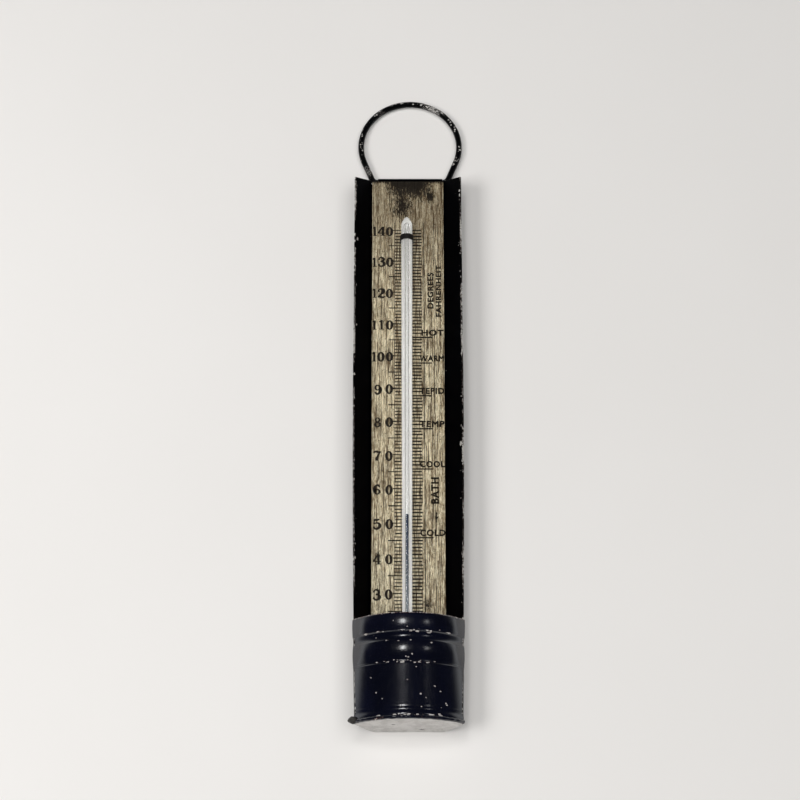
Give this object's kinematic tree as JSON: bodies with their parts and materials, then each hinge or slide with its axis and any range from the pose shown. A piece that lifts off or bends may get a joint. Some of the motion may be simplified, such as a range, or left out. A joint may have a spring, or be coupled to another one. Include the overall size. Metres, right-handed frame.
{
  "type": "bath thermometer",
  "caption": "Mercury bath thermometer: a glass tube on a brass scale, in a japanned tin trough with a bulb cup at its foot and a hinged wire hanging ring.",
  "frame": {"origin": "middle of the trough's flat back, halfway along it", "axes": "+X across the scale, +Y along the scale towards the hanging ring, +Z out of the face"},
  "size_m": [0.0519, 0.3103, 0.0258],
  "materials": {
    "japanned_tin": "glossy black japan, chipped to bare tin along its edges",
    "chipped_japan": "black japan on iron wire, chipped",
    "old_brass": "brushed, stained and tarnished, with a stamped scale",
    "clear_glass": "clear drawn glass",
    "opal_glass": "white opal glass",
    "mercury": "liquid metal",
    "blackened_strap": "blackened iron",
    "bare_tin": "dull tinned plate",
    "solder": "dull solder"
  },
  "bodies": {
    "case": {"case_trough": "japanned_tin", "ring_sleeve": "japanned_tin", "cup_front": "japanned_tin", "base_seam": "japanned_tin", "scale_plate": "old_brass", "glass_stem": "clear_glass", "glass_bulb": "clear_glass", "opal_strip": "opal_glass", "bulb_mercury": "mercury", "mercury_thread": "mercury", "upper_strap": "blackened_strap", "lower_strap": "blackened_strap", "base_plate": "bare_tin", "cup_solder_left": "solder", "cup_solder_right": "solder", "base_solder_lump": "solder", "scale_tack_top_left": "solder", "scale_tack_top_right": "solder", "scale_tack_foot_left": "solder", "scale_tack_foot_right": "solder"},
    "ring": {"hanging_ring": "chipped_japan"},
    "mercury": {"mercury_head": "mercury"}
  },
  "joints": [
    {"name": "ring_swing", "type": "hinge", "parent": "case", "child": "ring", "pos_m": [0.0011, 0.1321, 0.0021], "axis": [1, 0, 0], "range_deg": [0, 60]},
    {"name": "reading_slide", "type": "slide", "parent": "case", "child": "mercury", "axis": [0, 1, 0], "range_m": [-0.0421, 0.1429], "deforming": ["mercury_thread"]}
  ]
}
